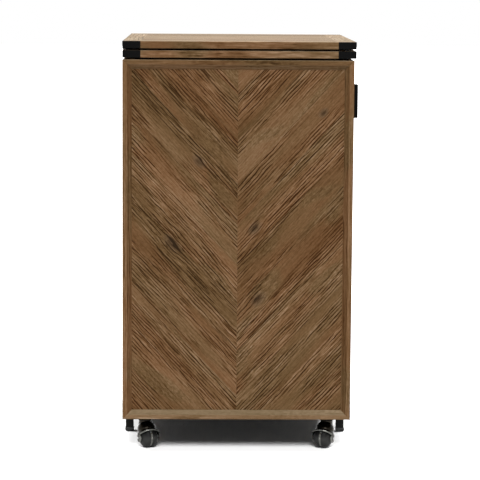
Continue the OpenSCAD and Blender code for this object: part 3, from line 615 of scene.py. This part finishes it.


# The tones below are painted shade and light, by which way each face looks: -1 is darker and 1 is
# lighter.
dress_boards("door_frame_top", MOULDING_OAK, along("x"), flat=-1.0, slope=0.6)
dress_boards("door_frame_bottom", SILL_OAK, along("x"), flat=1.2, slope=0.7)
for node in ("door_frame_left", "door_frame_right"):
    dress_boards(node, MOULDING_OAK, along("z"), slope=-1.2)
for node in ("door_left_side_frame", "door_right_side_frame", "left_side_frame", "right_side_frame"):
    dress_boards(node, MOULDING_OAK, around(node, "y", "z"), slope=-0.6)
dress_boards("back_frame", MOULDING_OAK, around("back_frame", "x", "z"), slope=-0.6)
dress_boards("lower_leaf_border", TOP_OAK, around("lower_leaf_border", "x", "y"), flat=0.3)
dress_boards("upper_leaf_border", TOP_OAK, around("upper_leaf_border", "x", "y"), flat=-0.5, top=0.8)
for node in ("lower_leaf_panel", "upper_leaf_panel"):
    dress_boards(node, TOP_BOARDS, along("x"))
for node in ("door_panel", "door_side_left", "door_side_right", "cabinet_side_left",
             "cabinet_side_right", "cabinet_back_board"):
    dress_boards(node, INSIDE_OAK, along("z"))
for node in ("door_top_board", "door_bottom_board", "door_shelves", "cabinet_top_board",
             "cabinet_bottom_board", "cabinet_shelves", "worktop_spacers"):
    dress_boards(node, INSIDE_OAK, along("x"))
dress_boards("stemware_rails", INSIDE_OAK, along("y"))
for node in ("door_bottom_board", "cabinet_bottom_board"):
    mesh = NODES[node].data
    mesh.materials.append(BASE_PAINT)
    for polygon in mesh.polygons:
        if polygon.normal.z < -FLAT:
            polygon.material_index = len(mesh.materials) - 1

dress("bottle_rails door_handle door_hinge_leaves cabinet_hinge_leaves lower_leaf_straps "
      "upper_leaf_straps lower_strap_screws upper_strap_screws lower_leaf_hinge_plates "
      "upper_leaf_hinge_plates castor_plates", BLACK_STEEL)
dress("front_left_leg front_right_leg rear_left_leg rear_right_leg", LIGHTENED_LEG_STEEL)
dress("handle_screws catch_strikes catch_magnets castor_kingpins castor_screws "
      "left_castor_axle right_castor_axle door_hinge_pins leaf_hinge_pins", BARE_STEEL)
dress("left_castor_hood right_castor_hood", GUNMETAL)
dress("left_castor_front_wheel left_castor_rear_wheel right_castor_front_wheel "
      "right_castor_rear_wheel", WHEEL_PLASTIC)
dress("leg_glides", GLIDE_PLASTIC)
dress("leaf_support_pads leaf_bumpers", PAD_RUBBER)


def highlight_hood(side):
    """Paints a highlight along the open side of a castor hood's rim, and brushes the edge of its web."""
    front, rear = (sum(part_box(f"{side}_castor_{end}_wheel"), Vector()) / 2 for end in ("front", "rear"))
    ball, axle = (front + rear) / 2, (front - rear).normalized()
    hood = NODES[f"{side}_castor_hood"].data
    hood.materials.append(SATIN)
    back = Vector(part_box(f"{side}_castor_hood")[0]).lerp(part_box(f"{side}_castor_hood")[1], 0.5) - ball
    level = Vector((0, 0, 1)).cross(axle)
    level *= math.copysign(1.0, back.dot(level))
    above = Vector((0, 0, math.cos(HIGHLIGHT_TILT))) + level * math.sin(HIGHLIGHT_TILT)
    polish = hood.attributes.new("polish", "FLOAT", "POINT").data
    for vertex in hood.vertices:
        place = vertex.co - ball
        depth = min(HIGHLIGHT_RISE - place.dot(above), HIGHLIGHT_SIDE - abs(place.dot(axle)))
        polish[vertex.index].value = depth / HIGHLIGHT_FADE
    for polygon in hood.polygons:
        place = polygon.center - ball
        on_axle = place.dot(axle)
        from_axle = (place - on_axle * axle).length
        if abs(on_axle) < WEB_HALF and WEB_FROM < from_axle < WEB_TO:
            polygon.material_index = len(hood.materials) - 1


for side in ("left", "right"):
    highlight_hood(side)


# Chevron veneer
def clip(points, inside):
    """The part of a flat convex outline where inside, a linear function, isn't negative."""
    kept = []
    for i, here in enumerate(points):
        before = points[i - 1]
        a, b = inside(before), inside(here)
        if (a < 0) != (b < 0):
            kept.append(before.lerp(here, a / (a - b)))
        if b >= 0:
            kept.append(here)
    return kept


def inset(points, distance):
    """A convex outline, anticlockwise, moved in by a distance."""
    moved = list(points)
    for i, here in enumerate(points):
        start = points[i - 1]
        side = here - start
        inward = Vector((-side.y, side.x)).normalized()
        moved = clip(moved, lambda p: (p - start).dot(inward) - distance)
    return moved


def holds(points, spot):
    """True if a convex outline, anticlockwise, holds a point."""
    for i, here in enumerate(points):
        side = here - points[i - 1]
        if side.x * (spot.y - here.y) - side.y * (spot.x - here.x) < 0:
            return False
    return True


class Veneer:
    """Planks on one face: h runs across it, z up it, and out points away from it."""

    def __init__(self, name, origin, h_axis, z_axis, width, height, seed, knots):
        self.name = name
        self.origin = Vector(origin)
        self.h_axis = Vector(h_axis)
        self.z_axis = Vector(z_axis)
        self.out = self.h_axis.cross(self.z_axis)
        self.width = width
        self.height = height
        self.random = random.Random(seed)
        self.knots = knots
        self.mesh = bmesh.new()
        self.grain = self.mesh.loops.layers.float_vector.new("grain")
        self.tone = self.mesh.loops.layers.float.new("tone")
        self.knot = self.mesh.loops.layers.float_vector.new("knot")
        angle = math.radians(CHEVRON_DEGREES)
        self.sin, self.cos = math.sin(angle), math.cos(angle)

    def plank(self, half, low, high):
        """One plank between two distances across the grain; half is -1 at the left and 1 at the right."""
        run = Vector((half * self.cos, self.sin))
        cross = Vector((-half * self.sin, self.cos))
        edge = self.width / 2
        outline = [Vector((0, 0)), Vector((half * edge, 0)),
                   Vector((half * edge, self.height)), Vector((0, self.height))]
        if half < 0:
            outline.reverse()
        for inside in (lambda p: p.dot(cross) - low, lambda p: high - p.dot(cross)):
            outline = clip(outline, inside)
        outline = [p for i, p in enumerate(outline) if (p - outline[i - 1]).length > SAME_CORNER]
        if len(outline) < 3:
            return
        foot = inset(outline, SEAM / 2)
        top = inset(outline, SEAM / 2 + PLANK_EASE)
        # A plank that is too small for its seams and edges is left out
        if len(foot) < 3 or len(foot) != len(top):
            return
        shift = Vector((self.random.random(), self.random.random()))
        tone = self.random.uniform(-1, 1)
        origin = Vector((GRAIN_ORIGINS * shift.x, GRAIN_SHIFT * shift.y - low))
        knot = self.knot_in(outline, run, cross, origin)
        heights = (-VENEER_SINK, VENEER_T - PLANK_EASE / 2, VENEER_T)
        rows = [[self.mesh.verts.new(self.place(p, h)) for p in row]
                for row, h in zip((foot, foot, top), heights)]
        faces = [self.mesh.faces.new(rows[-1]), self.mesh.faces.new(rows[0][::-1])]
        for lower, upper in zip(rows, rows[1:]):
            for i in range(len(foot)):
                faces.append(self.mesh.faces.new((lower[i - 1], lower[i], upper[i], upper[i - 1])))
        for face in faces:
            for loop in face.loops:
                local = loop.vert.co - self.origin
                flat = Vector((local.dot(self.h_axis), local.dot(self.z_axis)))
                loop[self.grain] = (flat.dot(run) + origin.x, flat.dot(cross) + origin.y,
                                    local.dot(self.out))
                loop[self.tone] = tone
                loop[self.knot] = knot

    def knot_in(self, outline, run, cross, origin):
        """The knot of one plank, in the plank's grain coordinates, with its radius; 0 for none."""
        chance, place, size = (self.random.random() for _ in range(3))
        spots = [(Vector(spot[:2]), spot[2]) for spot in self.knots if holds(outline, Vector(spot[:2]))]
        if not self.knots and chance < KNOT_CHANCE:
            middle = sum(outline, Vector((0, 0))) / len(outline)
            spots = [(middle + run * (place - 0.5) * KNOT_SPAN * self.width,
                      KNOT_MIN + size * (KNOT_MAX - KNOT_MIN))]
        if not spots:
            return 0.0, 0.0, 0.0
        spot, radius = spots[0]
        return spot.dot(run) + origin.x, spot.dot(cross) + origin.y, radius

    def place(self, point, height):
        return self.origin + self.h_axis * point.x + self.z_axis * point.y + self.out * height

    def fill(self):
        """All the planks of both halves."""
        highest = self.height * self.cos
        at = -self.width / 2 * self.sin
        while at < highest:
            step = self.random.uniform(PLANK_MIN, PLANK_MAX)
            for half in (-1, 1):
                self.plank(half, at, at + step)
            at += step

    def finish(self, body):
        """Makes the piece, which rides on a body."""
        data = bpy.data.meshes.new(self.name)
        self.mesh.to_mesh(data)
        self.mesh.free()
        data.materials.append(CHEVRON_OAK)
        piece = bpy.data.objects.new(self.name, data)
        bpy.context.scene.collection.objects.link(piece)
        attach(piece, body)


def veneer_panel(name, body, frame_low, frame_high, surface, facing, seed, knots=()):
    """Fills a frame's opening with planks. facing is the outward direction: -x, +x, -y or +y."""
    axis = "xy".index(facing[1])
    sign = -1 if facing[0] == "-" else 1
    other = 1 - axis
    h_axis, origin = [0, 0, 0], [0, 0, 0]
    h_axis[other] = sign if axis == 0 else -sign
    origin[axis] = surface
    origin[other] = (frame_low[other] + frame_high[other]) / 2
    origin[2] = frame_low[2] + BAND
    width = frame_high[other] - frame_low[other] - 2 * BAND
    height = frame_high[2] - frame_low[2] - 2 * BAND
    panel = Veneer(name, origin, h_axis, (0, 0, 1), width, height, seed, knots)
    panel.fill()
    panel.finish(body)


front_low = Vector(map(min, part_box("door_frame_left")[0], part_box("door_frame_bottom")[0]))
front_high = Vector(map(max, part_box("door_frame_right")[1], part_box("door_frame_top")[1]))
veneer_panel("door_chevron_front", "door", front_low, front_high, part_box("door_panel")[0].y, "-y",
             11, FRONT_KNOTS)
for name, body, frame_node, board, facing, seed in (
    ("door_chevron_left", "door", "door_left_side_frame", "door_side_left", "-x", 12),
    ("door_chevron_right", "door", "door_right_side_frame", "door_side_right", "+x", 13),
    ("cabinet_chevron_left", "cabinet", "left_side_frame", "cabinet_side_left", "-x", 14),
    ("cabinet_chevron_right", "cabinet", "right_side_frame", "cabinet_side_right", "+x", 15),
    ("cabinet_chevron_back", "cabinet", "back_frame", "cabinet_back_board", "+y", 16),
):
    low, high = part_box(frame_node)
    board_low, board_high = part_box(board)
    axis = "xy".index(facing[1])
    surface = board_low[axis] if facing[0] == "-" else board_high[axis]
    veneer_panel(name, body, low, high, surface, facing, seed)


# Floor, sky and lamps
def floor_material():
    """White to the camera and in reflections, and darker as a bounce of light."""
    graph = Graph(bpy.data.materials.new("floor"))
    seen = graph.seen_by("Is Camera Ray", "Is Glossy Ray")
    diffuse = graph.add("ShaderNodeBsdfDiffuse")
    graph.put(diffuse.inputs["Color"], graph.mix(seen, grey(FLOOR_BOUNCE), grey(FLOOR_SEEN)))
    return graph.end("Material", diffuse)


def studio_world():
    """A sky that is white to the camera, in reflections and through glass."""
    graph = Graph(bpy.data.worlds.new("studio"))
    seen = graph.seen_by("Is Camera Ray", "Is Glossy Ray", "Is Transmission Ray")
    background = graph.add("ShaderNodeBackground")
    background.inputs["Color"].default_value = grey(1.0)
    graph.put(background.inputs["Strength"], graph.remap(seen, 0.0, 1.0, SKY_LEVEL, SKY_SEEN))
    return graph.end("World", background)


def sun(name, towards, level, softness):
    """A sun lamp that shines from a direction, at a level where 1 shows colours as written."""
    lamp = bpy.data.lights.new(name, "SUN")
    lamp.energy = math.pi * level
    lamp.angle = math.radians(softness)
    holder = bpy.data.objects.new(name, lamp)
    holder.rotation_mode = "QUATERNION"
    holder.rotation_quaternion = Vector(towards).to_track_quat("Z", "Y")
    bpy.context.scene.collection.objects.link(holder)


half = FLOOR_SIZE / 2
floor_mesh = bpy.data.meshes.new("floor")
floor_mesh.from_pydata([(-half, -half, 0), (half, -half, 0), (half, half, 0), (-half, half, 0)],
                       [], [(0, 1, 2, 3)])
floor_mesh.materials.append(floor_material())
floor = bpy.data.objects.new("floor", floor_mesh)
bpy.context.scene.collection.objects.link(floor)

bpy.context.scene.world = studio_world()
for name, (towards, level, softness) in LAMPS.items():
    sun(name, towards, level, softness)

# Camera
camera_data = bpy.data.cameras.new("camera")
camera_data.sensor_width = SENSOR_MM
camera_data.lens = FOCAL_PIXELS / IMAGE_PIXELS * SENSOR_MM
camera_data.clip_end = CAMERA_REACH
camera = bpy.data.objects.new("camera", camera_data)
turn = (
    Matrix.Rotation(math.radians(CAMERA_YAW), 4, "Z")
    @ Matrix.Rotation(-math.radians(CAMERA_PITCH), 4, "X")
    @ Matrix.Rotation(-math.radians(CAMERA_ROLL), 4, "Y")
    @ Matrix.Rotation(math.radians(90), 4, "X")
)
camera.matrix_world = Matrix.Translation(CAMERA_PLACE) @ turn
bpy.context.scene.collection.objects.link(camera)
bpy.context.scene.camera = camera

bpy.context.scene.view_settings.view_transform = "Standard"
